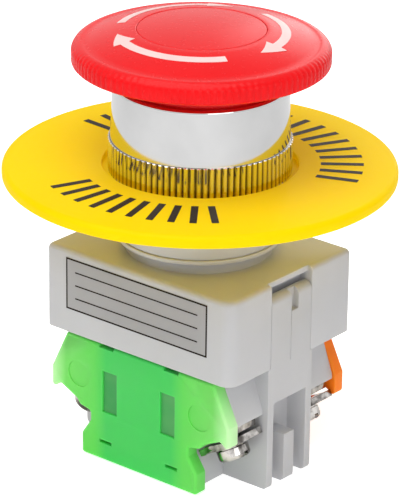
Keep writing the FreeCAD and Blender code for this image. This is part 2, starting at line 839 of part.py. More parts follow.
def cover(label, side):
    """Coloured cover of one contact chamber, with eared sides and a waist."""
    right = [
        (f"{chamber_outer_x} + foot_reach", cover_low),
        (f"{chamber_outer_x} + foot_reach", f"{cover_top} - foot_drop"),
        (f"{chamber_outer_x} + waist_reach", f"{cover_top} - waist_low_drop"),
        (f"{chamber_outer_x} + waist_reach", f"{cover_top} - waist_top_drop"),
        (f"{chamber_outer_x} + thigh_reach", f"{cover_top} - thigh_drop"),
        (f"{chamber_outer_x} + hip_reach", f"{cover_top} - hip_drop"),
        ("block_half_x - notch_inset", f"{cover_top} - notch_drop"),
        ("block_half_x - ear_inset", f"{cover_top} - ear_low_drop"),
        ("block_half_x - ear_inset", f"{cover_top} - ear_top_drop"),
        ("block_half_x - cover_top_inset", cover_top),
    ]
    body = new_body(label)
    padded(body, "XZ_Plane", right + mirrored(right), *span(side, cover_back, cover_face))

    def across(edge):
        box = edge.BoundBox
        return box.YLength > value("cover_depth") - 1e-6 and box.XLength + box.ZLength < 1e-6

    rounded(body, "cover_corner", across)
    face = value(signed(side, cover_face))

    def on_face(edge):
        return abs(edge.BoundBox.YMin - face) + abs(edge.BoundBox.YMax - face) < 1e-6

    rounded(body, "cover_face_round", on_face)
    hollow = rectangle(f"-{chamber_half_x}", chamber_half_x, chamber_low, chamber_top)
    pocketed(body, "XZ_Plane", hollow, *span(side, cover_back, f"{cover_face} - cover_skin"))
    window_outer = f"({chamber_half_x} - window_margin)"
    vent_centre = f"({chamber_half_x} - vent_margin)"
    catch_centre = f"({chamber_half_x} - catch_margin)"
    for end in (-1, 1):
        window = rectangle(
            *span(end, f"{window_outer} - window_width", window_outer),
            f"{cover_top} - window_low_drop", f"{cover_top} - window_top_drop")
        pocketed(body, "XZ_Plane", window, *span(side, f"{cover_face} - window_depth", cover_face))
        vent_low = f"({cover_top} - vent_drop)"
        vent = rectangle(
            *span(end, f"{vent_centre} - vent_width / 2", f"{vent_centre} + vent_width / 2"),
            vent_low, f"{vent_low} + vent_height")
        pocketed(body, "XZ_Plane", vent, *span(side, f"{cover_face} - vent_depth", cover_face))
        catch = rectangle(
            *span(end, f"{catch_centre} - catch_width / 2", f"{catch_centre} + catch_width / 2"),
            f"{cover_top} - catch_height", cover_top)
        pocketed(body, "XZ_Plane", catch, *span(side, cover_back, cover_face))
        pip = (signed(end, "block_half_x - pip_inset"), f"{cover_top} - pip_drop", "pip_radius")
        pocketed(body, "XZ_Plane", pip, *span(side, f"{cover_face} - pip_depth", cover_face))


def contact_set(name, side, bridge_low, tip_low):
    """Plunger, bridge and spring of one chamber."""
    bridge_top = f"({bridge_low} + bridge_height)"
    middle = signed(side, plunger_mid_y)
    half = "bridge_width / 2"
    body = new_body(f"{name}_plunger")
    plan = rectangle("-plunger_half_x", "plunger_half_x", *span(side, plunger_inner_y, plunger_outer_y))
    padded(body, "XY_Plane", plan, plunger_low, plunger_top)
    window = rectangle(
        f"{middle} - {half} - sliding_clearance", f"{middle} + {half} + sliding_clearance",
        bridge_low, f"{bridge_top} + sliding_clearance")
    pocketed(body, "YZ_Plane", window, "-plunger_half_x", "plunger_half_x")
    padded(body, "XY_Plane", ("0", middle, contact_nub), f"{plunger_low} - plunger_foot", plunger_low)
    body = new_body(f"{name}_bridge")
    plan = rectangle(f"-{bridge_half_x}", bridge_half_x, f"{middle} - {half}", f"{middle} + {half}")
    padded(body, "XY_Plane", plan, bridge_low, bridge_top)
    for end in (-1, 1):
        tip = (signed(end, tip_centre), middle, "tip_radius")
        padded(body, "XY_Plane", tip, tip_low, f"{tip_low} + tip_height")
    coil_spring(f"{name}_spring", "0", middle, chamber_low, plunger_low,
                "contact_coil_radius", "contact_wire", "contact_turns")


def terminal_strip(label, end, side, raised):
    """Fixed contact on a slope under the roof, raised to the upper contact level where that is set."""
    outer = [
        (leg_outer, f"{strip_entry} - strip_height"),
        (strip_end, f"{strip_level(strip_end)} - strip_height"),
        (strip_end, strip_level(strip_end)),
        (leg_outer, strip_entry),
    ]
    if raised:
        inner = [(leg_outer, closed_strip_top), (strip_inner, closed_strip_top), (strip_inner, closed_strip_low),
                 (leg_inner, closed_strip_low), (leg_inner, f"{strip_entry} - strip_height")]
        tip_low = f"({closed_strip_low} - tip_height)"
    else:
        inner = [(strip_inner, strip_entry), (strip_inner, f"{strip_entry} - strip_height")]
        tip_low = strip_entry
    profile = outer + inner
    body = new_body(label)
    width = span(side, f"{terminal_y} - strip_width / 2", f"{terminal_y} + strip_width / 2")
    padded(body, "XZ_Plane", profile if end > 0 else mirrored(profile), *width)
    tip = (signed(end, tip_centre), signed(side, plunger_mid_y), "tip_radius")
    padded(body, "XY_Plane", tip, tip_low, f"{tip_low} + tip_height")
    tilted_hole(body, end, side, "clamp_screw_radius + thread_clearance", "strip_height + loose_gap")


def wire_clamp(label, end, side):
    """Saddle plate with a dropped lip inside and its outer side turned up to the strip."""
    lip_end = "clamp_lip - clamp_inner_reach"
    ramp_end = f"{lip_end} + clamp_lip_ramp"
    profile = [
        ("-clamp_inner_reach", f"{clamp_low} - clamp_lip_drop"),
        (lip_end, f"{clamp_low} - clamp_lip_drop"),
        (ramp_end, clamp_low),
        ("clamp_seat", clamp_low),
        ("clamp_outer_reach", f"{clamp_low} + clamp_rise"),
        ("clamp_outer_reach", f"{clamp_top} + clamp_rise"),
        ("clamp_seat", clamp_top),
        (ramp_end, clamp_top),
        (lip_end, f"{clamp_top} - clamp_lip_drop"),
        ("-clamp_inner_reach", f"{clamp_top} - clamp_lip_drop"),
    ]
    body = new_body(label)
    padded(body, "XZ_Plane", profile if end > 0 else mirrored(profile), "-clamp_half_y", "clamp_half_y")
    hole = ("0", "0", "clamp_screw_radius + loose_gap")
    pocketed(body, "XY_Plane", hole, f"{clamp_low} - clamp_lip_drop", clamp_top)
    tilt(body, "Placement", end, side)


def terminal_screw(label, end, side):
    edge = "clamp_screw_edge_round"
    screw_end = "(strip_height + clamp_screw_end)"
    body = turned(label, [
        ("0", clamp_head_low),
        (f"clamp_screw_head_radius - {edge}", clamp_head_low),
        ("clamp_screw_head_radius", f"{clamp_head_low} + {edge}", edge),
        ("clamp_screw_head_radius", lock_washer_low),
        ("clamp_screw_radius", lock_washer_low),
        ("clamp_screw_radius", screw_end),
        ("0", screw_end),
    ])
    radius = "clamp_screw_head_radius"
    slot = rectangle(f"-{radius}", radius, "-clamp_slot_width / 2", "clamp_slot_width / 2")
    pocketed(body, "XY_Plane", slot, clamp_head_low, f"{clamp_head_low} + clamp_slot_depth")
    tilt(body, "Placement", end, side)


def lock_washer(label, end, side):
    inner = "(clamp_screw_radius + thread_clearance)"
    body = ring(label, inner, "lock_washer_radius", lock_washer_low, clamp_low)
    tilt(body, "Placement", end, side)


def terminals():
    """Strip, clamp, washer and screw at both ends of both chambers."""
    for contact, side in (("no", -1), ("nc", 1)):
        for end_name, end in (("left", -1), ("right", 1)):
            name = f"{contact}_{end_name}"
            terminal_strip(f"{name}_strip", end, side, contact == "nc")
            wire_clamp(f"{name}_clamp", end, side)
            lock_washer(f"{name}_washer", end, side)
            terminal_screw(f"{name}_screw", end, side)


mushroom_cap()
cap_disc()
cap_screw()
push_stem()
bezel_ring()
legend_plate()
panel_rings()
operator_neck()
coil_spring("return_spring", "0", "0", "ledge_top", hub_ceiling,
            "return_coil_radius", "return_wire", "return_turns")
release_cam()
pins()
pusher()
stem_clip()
base_housing()
snap_arms()
contact_base()
cover("front_cover", -1)
cover("rear_cover", 1)
contact_set("no", -1, open_low, f"({open_low} - tip_height)")
contact_set("nc", 1, closed_low, closed_top)
terminals()
doc.recompute()

for item in doc.Objects:
    if "Invalid" in item.State or "Error" in item.State:
        raise RuntimeError(f"{item.Label} failed: {item.State}")
os.makedirs("parts", exist_ok=True)
for sub_part in sub_parts:
    shape = sub_part.Shape
    if shape.isNull() or not shape.isValid() or not shape.Solids:
        raise RuntimeError(f"{sub_part.Label} has no valid solid")
    shape.exportStep(f"parts/{sub_part.Label}.step")
    print(sub_part.Label, len(shape.Solids), round(shape.Volume, 2))
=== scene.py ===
import bmesh
import bpy
import math
from mathutils import Matrix, Vector


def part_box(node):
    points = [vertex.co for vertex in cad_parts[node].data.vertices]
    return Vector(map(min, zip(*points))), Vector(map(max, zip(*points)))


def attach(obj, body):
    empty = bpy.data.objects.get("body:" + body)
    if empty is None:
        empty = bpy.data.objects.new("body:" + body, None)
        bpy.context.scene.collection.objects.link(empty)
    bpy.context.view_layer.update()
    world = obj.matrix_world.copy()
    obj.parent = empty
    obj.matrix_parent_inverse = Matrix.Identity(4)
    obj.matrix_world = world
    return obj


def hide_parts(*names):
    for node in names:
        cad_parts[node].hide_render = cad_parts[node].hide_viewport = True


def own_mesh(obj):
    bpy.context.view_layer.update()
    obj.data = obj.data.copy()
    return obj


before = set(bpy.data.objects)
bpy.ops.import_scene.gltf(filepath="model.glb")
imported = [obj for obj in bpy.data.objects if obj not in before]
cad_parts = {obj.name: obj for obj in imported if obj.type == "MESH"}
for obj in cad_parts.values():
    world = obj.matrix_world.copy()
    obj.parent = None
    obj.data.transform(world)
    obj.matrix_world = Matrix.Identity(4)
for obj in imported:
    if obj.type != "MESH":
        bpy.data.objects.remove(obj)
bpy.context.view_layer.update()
mm = 0.001  # settings are in millimetres, Blender works in metres
bpy.context.scene.view_settings.view_transform = "Standard"
print("frame loaded")


# camera: a long lens from the right front, a little above
photoView = {
    "azimuth": 39.56,
    "elevation": 22.78,
    "roll": 0.72,
    "distance": 514.8,
    "target": (0.11, 0.09, -12.51),
    "lens": 239.8,
    "sensor": 36,
}


def setCamera(view):
    turn, rise, roll = (math.radians(view[name]) for name in ("azimuth", "elevation", "roll"))
    back = Vector((math.sin(turn) * math.cos(rise), -math.cos(turn) * math.cos(rise), math.sin(rise)))
    level = Vector((math.cos(turn), math.sin(turn), 0))
    right = level * math.cos(roll) + back.cross(level) * math.sin(roll)
    axes = Matrix((right, back.cross(right), back)).transposed()
    place = (Vector(view["target"]) + back * view["distance"]) * mm
    bpy.ops.object.camera_add(location=place, rotation=axes.to_euler())
    camera = bpy.context.object
    camera.name = "photoCamera"
    camera.data.lens = view["lens"]
    camera.data.sensor_width = view["sensor"]
    bpy.context.scene.camera = camera


setCamera(photoView)
print("camera set")


# materials

def linear(hexColour):
    channels = []
    for place in (1, 3, 5):
        level = int(hexColour[place:place + 2], 16) / 255
        channels.append(level / 12.92 if level <= 0.04045 else ((level + 0.055) / 1.055) ** 2.4)
    return (*channels, 1)


def patternScale(size):
    # noise scale that makes its features this many millimetres wide
    return 1 / (size * mm)


def addNode(tree, kind, settings, links={}):
    node = tree.nodes.new(kind)
    for name, setting in settings.items():
        if name == "ramp":  # list of (place, hex colour)
            elements = node.color_ramp.elements
            while len(elements) < len(setting):
                elements.new(1)
            for element, (place, colour) in zip(elements, setting):
                element.position = place
                element.color = linear(colour)
        elif name in node.inputs:
            node.inputs[name].default_value = setting
        else:
            setattr(node, name, setting)
    for name, socket in links.items():
        tree.links.new(socket, node.inputs[name])
    return node


def newMaterial(name, shaderSettings):
    material = bpy.data.materials.new(name)
    material.use_nodes = True
    tree = material.node_tree
    shader = tree.nodes["Principled BSDF"]
    for socket, setting in shaderSettings.items():
        shader.inputs[socket].default_value = setting
    return material, tree, shader


noiseSpread = (0.3, 0.7)  # nearly all of a noise lies between these


def mouldedPlastic(name, settings):
    # a cloud of slightly lighter and darker colour, a sparked skin and uneven gloss
    # the skin's grain is drawn coarser than the real one, so that it shows
    material, tree, shader = newMaterial(name, settings["shader"])
    place = addNode(tree, "ShaderNodeTexCoord", {}).outputs["Object"]
    cloud = addNode(tree, "ShaderNodeTexNoise", {"Scale": patternScale(settings["cloud"]), "Detail": 2},
                    {"Vector": place})
    tint = addNode(tree, "ShaderNodeValToRGB", {"ramp": settings["tints"]}, {"Fac": cloud.outputs["Fac"]})
    tree.links.new(tint.outputs["Color"], shader.inputs["Base Color"])
    skin = addNode(tree, "ShaderNodeTexNoise", {"Scale": patternScale(settings["grain"]), "Detail": 3},
                   {"Vector": place})
    low, high = settings["roughness"]
    gloss = addNode(tree, "ShaderNodeMapRange",
                    {"From Min": noiseSpread[0], "From Max": noiseSpread[1], "To Min": low, "To Max": high},
                    {"Value": skin.outputs["Fac"]})
    tree.links.new(gloss.outputs["Result"], shader.inputs["Roughness"])
    bump = addNode(tree, "ShaderNodeBump",
                   {"Strength": settings["bump"], "Distance": settings["depth"] * mm},
                   {"Height": skin.outputs["Fac"]})
    tree.links.new(bump.outputs["Normal"], shader.inputs["Normal"])
    if "through" in settings:  # share of the light that passes the wall, and its colour
        share, colour = settings["through"]
        glow = addNode(tree, "ShaderNodeBsdfTranslucent", {"Color": linear(colour)})
        mix = addNode(tree, "ShaderNodeMixShader", {"Fac": share},
                      {1: shader.outputs["BSDF"], 2: glow.outputs["BSDF"]})
        tree.links.new(mix.outputs["Shader"], tree.nodes["Material Output"].inputs["Surface"])
    return material


# glossy moulded ABS: deep even red, with a soft wide highlight
redAbs = mouldedPlastic("red_abs", {
    "shader": {"IOR": 1.53, "Specular IOR Level": 0.13},
    "tints": [(0.3, "#ea1016"), (0.7, "#f2161b")],
    "cloud": 18, "grain": 0.9, "roughness": (0.24, 0.28), "bump": 0.02, "depth": 0.02,
})

# satin moulded ABS: warm yellow that keeps its colour under a broad sheen and glows through below
yellowAbs = mouldedPlastic("yellow_abs", {
    "shader": {"IOR": 1.53, "Specular IOR Level": 0.05}, "through": (0.38, "#ffd200"),
    "tints": [(0.3, "#fff103"), (0.7, "#fff609")],
    "cloud": 25, "grain": 0.6, "roughness": (0.36, 0.46), "bump": 0.08, "depth": 0.02,
})

# natural nylon: greyish white, slightly waxy, light soaks into the edges
whiteNylon = mouldedPlastic("white_nylon", {
    "shader": {
        "IOR": 1.53, "Subsurface Weight": 0.2, "Subsurface Scale": 1.2 * mm,
        "Subsurface Radius": (1, 0.9, 0.8),
    },
    "tints": [(0.3, "#bababd"), (0.7, "#c0c0c3")],
    "cloud": 14, "grain": 0.5, "roughness": (0.4, 0.5), "bump": 0.12, "depth": 0.02,
})

# grey acetal: dull and dry, for the sliding pieces inside
greyAcetal = mouldedPlastic("grey_acetal", {
    "shader": {"IOR": 1.48},
    "tints": [(0.3, "#77787a"), (0.7, "#828385")],
    "cloud": 8, "grain": 0.5, "roughness": (0.4, 0.5), "bump": 0.12, "depth": 0.02,
})

# dark glass-filled nylon of the threaded neck: fibre specks make it a little mottled
darkNylon = mouldedPlastic("dark_nylon", {
    "shader": {"IOR": 1.53},
    "tints": [(0.35, "#3c3d3f"), (0.65, "#4c4d50")],
    "cloud": 1.5, "grain": 0.35, "roughness": (0.42, 0.55), "bump": 0.2, "depth": 0.03,
})

# black seal rubber: matt, with a dusty bloom
sealRubber = mouldedPlastic("seal_rubber", {
    "shader": {"IOR": 1.5, "Specular IOR Level": 0.3},
    "tints": [(0.3, "#1c1c1c"), (0.7, "#282828")],
    "cloud": 4, "grain": 0.3, "roughness": (0.7, 0.85), "bump": 0.25, "depth": 0.03,
})

# screen-printed white and black ink: matt, a touch uneven
whiteInk = mouldedPlastic("white_ink", {
    "shader": {"IOR": 1.5},
    "tints": [(0.3, "#f8cfcb"), (0.7, "#fcdad6")],
    "cloud": 5, "grain": 0.4, "roughness": (0.4, 0.5), "bump": 0.1, "depth": 0.01,
})
blackInk = mouldedPlastic("black_ink", {
    "shader": {"IOR": 1.5, "Specular IOR Level": 0.1},
    "tints": [(0.3, "#1c130a"), (0.7, "#251a10")],
    "cloud": 5, "grain": 0.4, "roughness": (0.4, 0.5), "bump": 0.1, "depth": 0.01,
})

# label film: smooth printed polyester, a shade greyer than the housing
labelFilm = mouldedPlastic("label_film", {
    "shader": {"IOR": 1.57},
    "tints": [(0.3, "#9b9a9c"), (0.7, "#a1a0a2")],
    "cloud": 9, "grain": 0.8, "roughness": (0.3, 0.38), "bump": 0.05, "depth": 0.01,
})


def tintedCover(name, settings):
    # clear-tinted polycarbonate: painted shade makes it deeper over the chamber, and painted through-light
    # makes it paler towards the thin free ends
    material, tree, shader = newMaterial(name, settings["shader"])
    place = addNode(tree, "ShaderNodeTexCoord", {}).outputs["Object"]
    axes = addNode(tree, "ShaderNodeSeparateXYZ", {}, {"Vector": place})
    # painted light and shade: the tint runs from the dark middle to the pale ends, by distance from the
    # centre
    across = addNode(tree, "ShaderNodeMath", {"operation": "ABSOLUTE"}, {0: axes.outputs["X"]})
    reach = addNode(tree, "ShaderNodeMapRange", {"From Min": 0.0, "From Max": settings["halfWidth"] * mm},
                    {"Value": across.outputs["Value"]})
    tint = addNode(tree, "ShaderNodeValToRGB", {"ramp": settings["tints"]}, {"Fac": reach.outputs["Result"]})
    tree.links.new(tint.outputs["Color"], shader.inputs["Base Color"])
    skin = addNode(tree, "ShaderNodeTexNoise", {"Scale": patternScale(settings["grain"]), "Detail": 2},
                   {"Vector": place})
    low, high = settings["roughness"]
    gloss = addNode(tree, "ShaderNodeMapRange", {"To Min": low, "To Max": high},
                    {"Value": skin.outputs["Fac"]})
    tree.links.new(gloss.outputs["Result"], shader.inputs["Roughness"])
    bump = addNode(tree, "ShaderNodeBump",
                   {"Strength": settings["bump"], "Distance": settings["depth"] * mm},
                   {"Height": skin.outputs["Fac"]})
    tree.links.new(bump.outputs["Normal"], shader.inputs["Normal"])
    return material


coverShader = {"IOR": 1.58, "Specular IOR Level": 0.2, "Subsurface Weight": 0.5, "Subsurface Scale": 2 * mm}
coverSkin = {"halfWidth": 18.3, "grain": 0.8, "roughness": (0.3, 0.4), "bump": 0.1, "depth": 0.02}
greenPolycarbonate = tintedCover("green_polycarbonate", {
    "shader": {**coverShader, "Subsurface Radius": (0.5, 1, 0.5)},
    "tints": [(0.36, "#43ca5c"), (0.5, "#62d657"), (0.82, "#77da65"), (1, "#c8fbb9")],
    **coverSkin,
})
orangePolycarbonate = tintedCover("orange_polycarbonate", {
    "shader": {**coverShader, "Subsurface Radius": (1, 0.5, 0.2)},
    "tints": [(0.36, "#f46a04"), (0.5, "#fa7208"), (0.82, "#ff780a"), (1, "#ff8418")],
    **coverSkin,
})

# thin panes of the same material, painted greyer and darker for the shade of the chamber behind them, with a
# smoother skin
greenPane = mouldedPlastic("green_pane", {
    "shader": {"IOR": 1.58, "Specular IOR Level": 0.2},
    "tints": [(0.3, "#399a50"), (0.7, "#52a45c")],
    "cloud": 6, "grain": 0.8, "roughness": (0.3, 0.4), "bump": 0.05, "depth": 0.01,
})
orangePane = mouldedPlastic("orange_pane", {
    "shader": {"IOR": 1.58, "Specular IOR Level": 0.2},
    "tints": [(0.3, "#b5622a"), (0.7, "#c46e30")],
    "cloud": 6, "grain": 0.8, "roughness": (0.3, 0.4), "bump": 0.05, "depth": 0.01,
})


hazeSpread = (0.35, 0.75)
scratchDepth = 0.004
mixColours, mixResult = (6, 7), 2  # a Mix node's colour sockets share their names with its other ones


def platedMetal(name, settings):
    # plating over a turned or stamped surface: clear reflections with faint haze and fine scratches
    material, tree, shader = newMaterial(name, {"Metallic": 1})
    place = addNode(tree, "ShaderNodeTexCoord", {}).outputs["Object"]
    haze = addNode(tree, "ShaderNodeTexNoise", {"Scale": patternScale(settings["haze"]), "Detail": 3},
                   {"Vector": place})
    # the haze cloud also varies the tint: a faint random tone on most platings, painted dark and bright
    # reflections on the nickel
    ramp = addNode(tree, "ShaderNodeValToRGB", {"ramp": settings["tints"]}, {"Fac": haze.outputs["Fac"]})
    tint = ramp.outputs["Color"]
    if "grooves" in settings:  # floor radius, crest radius and the painted shade colour on the floor
        floor, crest, shade = settings["grooves"]
        # painted shade: the tint darkens towards the axis, from the crests down to the flute floors
        flat = addNode(tree, "ShaderNodeMapping", {"Scale": (1, 1, 0)}, {"Vector": place})
        radius = addNode(tree, "ShaderNodeVectorMath", {"operation": "LENGTH"}, {0: flat.outputs["Vector"]})
        rise = addNode(tree, "ShaderNodeMapRange", {"From Min": floor * mm, "From Max": crest * mm},
                       {"Value": radius.outputs["Value"]})
        mix = addNode(tree, "ShaderNodeMix", {"data_type": "RGBA"}, {"Factor": rise.outputs["Result"]})
        mix.inputs[mixColours[0]].default_value = linear(shade)
        tree.links.new(tint, mix.inputs[mixColours[1]])
        tint = mix.outputs[mixResult]
    tree.links.new(tint, shader.inputs["Base Color"])
    low, high = settings["roughness"]
    gloss = addNode(tree, "ShaderNodeMapRange",
                    {"From Min": hazeSpread[0], "From Max": hazeSpread[1], "To Min": low, "To Max": high},
                    {"Value": haze.outputs["Fac"]})
    tree.links.new(gloss.outputs["Result"], shader.inputs["Roughness"])
    lay = addNode(tree, "ShaderNodeMapping", {"Scale": settings["lay"]}, {"Vector": place})
    scratch = addNode(tree, "ShaderNodeTexNoise", {"Scale": patternScale(settings["scratch"]), "Detail": 2},
                      {"Vector": lay.outputs["Vector"]})
    bump = addNode(tree, "ShaderNodeBump", {"Strength": settings["bump"], "Distance": scratchDepth * mm},
                   {"Height": scratch.outputs["Fac"]})
    tree.links.new(bump.outputs["Normal"], shader.inputs["Normal"])
    return material


# bright chrome on a turned ring: near-mirror
chromePlate = platedMetal("chrome_plate", {
    "tints": [(0.3, "#cccccc"), (0.7, "#d4d4d4")], "haze": 6, "roughness": (0.05, 0.09),
    "scratch": 0.6, "lay": (1, 1, 0.2), "bump": 0.12,
})

# the same chrome on the knurl, with painted shade darkening the floors between the flutes, bright on their
# crests
knurledChrome = platedMetal("knurled_chrome", {
    "tints": [(0.3, "#d8d6d0"), (0.7, "#e2e0dc")], "haze": 6, "roughness": (0.1, 0.16),
    "scratch": 0.6, "lay": (1, 1, 0.2), "bump": 0.12, "grooves": (13.95, 14.2, "#4a3a16"),
})

# bright nickel on stamped steel: clear reflections, with painted dark and bright reflections in a wide
# mottle of its tint
nickelPlate = platedMetal("nickel_plate", {
    "tints": [(0.38, "#5c5854"), (0.62, "#dcd8d4")], "haze": 2.5, "roughness": (0.05, 0.12),
    "scratch": 0.3, "lay": (1, 0.2, 1), "bump": 0.2,
})

# tinned brass of the contact bridges: pale yellow grey
tinnedBrass = platedMetal("tinned_brass", {
    "tints": [(0.3, "#cfc4a6"), (0.7, "#d9d0b6")], "haze": 2, "roughness": (0.2, 0.3),
    "scratch": 0.3, "lay": (0.2, 1, 1), "bump": 0.2,
})

# drawn spring steel: plain grey with a soft shine
springSteel = platedMetal("spring_steel", {
    "tints": [(0.3, "#9b9b9c"), (0.7, "#b4b4b5")], "haze": 1, "roughness": (0.22, 0.34),
    "scratch": 0.2, "lay": (1, 1, 1), "bump": 0.2,
})
print("materials made")


# modelling helpers
meshWork = {"mergeGap": 0.001, "flatAngle": 0.5, "sharpAngle": 40, "edgeSteps": 3, "shadeAngle": 35}


def arcPoints(start, end, radius, steps):
    # bulges to the right of the way from start to end, or to the left if radius is below zero
    chord = end - start
    across = Vector((-chord.y, chord.x)).normalized() * math.copysign(1, radius)
    centre = (start + end) / 2 + across * math.sqrt(radius ** 2 - chord.length_squared / 4)
    first = start - centre
    sweep = first.angle_signed(end - centre)
    return [centre + Matrix.Rotation(-sweep * step / steps, 2) @ first for step in range(1, steps + 1)]


def traceOutline(corners, steps):
    # a third item is the radius of the arc that reaches the corner
    points = [Vector(corners[0])]
    for corner in corners[1:]:
        end = Vector(corner[:2])
        points += arcPoints(points[-1], end, corner[2], steps) if len(corner) == 3 else [end]
    return points


def startStrip(name, width, height):
    # a flat rectangle about the origin, left in edit mode with all its points selected
    bpy.ops.object.select_all(action="DESELECT")
    bpy.ops.mesh.primitive_plane_add(size=mm, location=(0, 0, 0))
    piece = bpy.context.object
    piece.name = piece.data.name = name
    bpy.ops.object.mode_set(mode="EDIT")
    bpy.ops.mesh.select_mode(type="VERT")
    bpy.ops.mesh.select_all(action="SELECT")
    bpy.ops.transform.resize(value=(width, height, 1))
    return piece


def standOnFront(place, thickness):
    # the strip in edit mode turns upright, moves to its place and grows towards the front
    bpy.ops.transform.rotate(value=math.radians(-90), orient_axis="X", center_override=(0, 0, 0))
    bpy.ops.transform.translate(value=place)
    bpy.ops.mesh.extrude_region_move(TRANSFORM_OT_translate={"value": (0, -thickness * mm, 0)})


def startPoint(name, place):
    # a strip merged to a single point, ready to be extruded
    piece = startStrip(name, 1, 1)
    bpy.ops.mesh.merge(type="CENTER")
    bpy.ops.transform.translate(value=place)
    return piece


def drawLine(points):
    for before, after in zip(points, points[1:]):
        bpy.ops.mesh.extrude_vertices_move(TRANSFORM_OT_translate={"value": after - before})
    bpy.ops.mesh.select_all(action="SELECT")


def closeMesh():
    bpy.ops.mesh.select_all(action="SELECT")
    bpy.ops.mesh.remove_doubles(threshold=meshWork["mergeGap"] * mm)
    bpy.ops.mesh.normals_make_consistent(inside=False)
    bpy.ops.object.mode_set(mode="OBJECT")


def selectOnly(piece):
    bpy.ops.object.select_all(action="DESELECT")
    piece.select_set(True)
    bpy.context.view_layer.objects.active = piece


def smoothShade(piece, angle=meshWork["shadeAngle"]):
    selectOnly(piece)
    bpy.ops.object.shade_smooth_by_angle(angle=math.radians(angle))


def spunPiece(name, corners, segments=192, steps=8):
    # an outline of (radius, height) turned once round the push axis
    points = [Vector((point.x, 0, point.y)) * mm for point in traceOutline(corners, steps)]
    piece = startPoint(name, points[0])
    drawLine(points)
    bpy.ops.mesh.spin(steps=segments, angle=math.tau, center=(0, 0, 0), axis=(0, 0, 1))
    closeMesh()
    smoothShade(piece)
    return piece


def selectPoints(piece, chosen):
    # in edit mode: the points whose place in millimetres is chosen
    bpy.ops.mesh.select_all(action="DESELECT")
    mesh = bmesh.from_edit_mesh(piece.data)
    for vertex in mesh.verts:
        vertex.select_set(chosen(vertex.co / mm))
    mesh.select_flush(True)
    bmesh.update_edit_mesh(piece.data)


def pressFlutes(piece, count, columns, pattern, low, high, inner):
    # the columns of points named in pattern move towards the axis, by the given depth
    selectOnly(piece)
    bpy.ops.object.mode_set(mode="EDIT")
    step = math.tau / (count * columns)

    def inColumn(at, column):
        onBand = low <= at.z <= high and math.hypot(at.x, at.y) >= inner
        return onBand and round(math.atan2(at.y, at.x) / step) % columns == column

    for column, (radius, depth) in pattern.items():
        selectPoints(piece, lambda at: inColumn(at, column))
        share = (radius - depth) / radius
        bpy.ops.transform.resize(value=(share, share, 1), center_override=(0, 0, 0))
    closeMesh()
    smoothShade(piece)


def mergedCopy(node, name):
    # the solid's own shape as one closed mesh
    piece = bpy.data.objects.new(name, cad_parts[node].data.copy())
    piece.data.name = name
    bpy.context.scene.collection.objects.link(piece)
    selectOnly(piece)
    bpy.ops.object.mode_set(mode="EDIT")
    bpy.ops.mesh.select_all(action="SELECT")
    bpy.ops.mesh.remove_doubles(threshold=meshWork["mergeGap"] * mm)
    bpy.ops.mesh.dissolve_limited(angle_limit=math.radians(meshWork["flatAngle"]))
    bpy.ops.object.mode_set(mode="OBJECT")
    return piece


def softenEdges(piece, edgeRound):
    selectOnly(piece)
    edges = piece.modifiers.new("edges", "BEVEL")
    edges.width = edgeRound * mm
    edges.segments = meshWork["edgeSteps"]
    edges.limit_method = "ANGLE"
    edges.angle_limit = math.radians(meshWork["sharpAngle"])
    bpy.ops.object.modifier_apply(modifier=edges.name)
    smoothShade(piece)


def dress(piece, material, body, slot, *nodes):
    piece.data.materials.clear()
    piece.data.materials.append(material)
    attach(piece, body)
    if nodes:
        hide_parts(*nodes)


# mushroom head
headSize = {
    "radius": 19.87, "bottom": 18.3, "edgeRound": 0.5, "rimTop": 20.4, "rimWall": 1.95, "ceiling": 20.2,
    "shoulder": 17.85, "shoulderTop": 21.6, "shoulderRound": 1.7, "domeRound": 40,
    "recess": 9.95, "lipRound": 0.15, "discEdge": 23.6, "seat": 22.45, "screwHole": 1.8, "headHole": 3.25,
    "holeFloor": 21.25, "ribs": 108, "ribColumns": 4, "ribDepth": 0.12, "ribTopGap": 0.1, "ribInset": 0.2,
}


def makeHead(size):
    piece = spunPiece("head_cap", [
        (size["screwHole"], size["ceiling"]),
        (size["radius"] - size["rimWall"], size["ceiling"]),
        (size["radius"] - size["rimWall"], size["bottom"]),
        (size["radius"] - size["edgeRound"], size["bottom"]),
        (size["radius"], size["bottom"] + size["edgeRound"], size["edgeRound"]),
        (size["radius"], size["rimTop"]),
        (size["shoulder"], size["shoulderTop"], size["shoulderRound"]),
        (size["recess"] + size["lipRound"], size["discEdge"], size["domeRound"]),
        (size["recess"], size["discEdge"] - size["lipRound"], size["lipRound"]),
        (size["recess"], size["seat"]),
        (size["headHole"], size["seat"]),
        (size["headHole"], size["holeFloor"]),
        (size["screwHole"], size["holeFloor"]),
        (size["screwHole"], size["ceiling"]),
    ], size["ribs"] * size["ribColumns"])
    pressFlutes(piece, size["ribs"], size["ribColumns"], {0: (size["radius"], size["ribDepth"])},
                size["bottom"] + size["edgeRound"] / 2, size["shoulderTop"] - size["ribTopGap"],
                size["shoulder"] + size["ribInset"])
    dress(piece, redAbs, "head", "head_red", "mushroom_cap")


makeHead(headSize)

discSize = {"radius": 9.92, "edgeRound": 0.22, "crown": 0.6}


def makeDisc(size, seat, edge):
    flat = size["radius"] - size["edgeRound"]
    crownRound = (flat ** 2 + size["crown"] ** 2) / (2 * size["crown"])
    piece = spunPiece("head_disc", [
        (0, seat),
        (size["radius"], seat),
        (size["radius"], edge - size["edgeRound"]),
        (flat, edge, size["edgeRound"]),
        (0, edge + size["crown"], crownRound),
    ])
    dress(piece, redAbs, "head", "head_red", "cap_disc")


makeDisc(discSize, headSize["seat"], headSize["discEdge"])

stemSize = {
    "hub": 12.5, "hubWall": 1.5, "hubBottom": 11.2, "hubCeiling": 17, "shaft": 4.5, "tail": 3, "groove": 2.4,
    "shaftLow": -16.1, "grooveTop": -19.6, "grooveLow": -20.4, "tailLow": -20.7, "boreLow": 11.95,
}


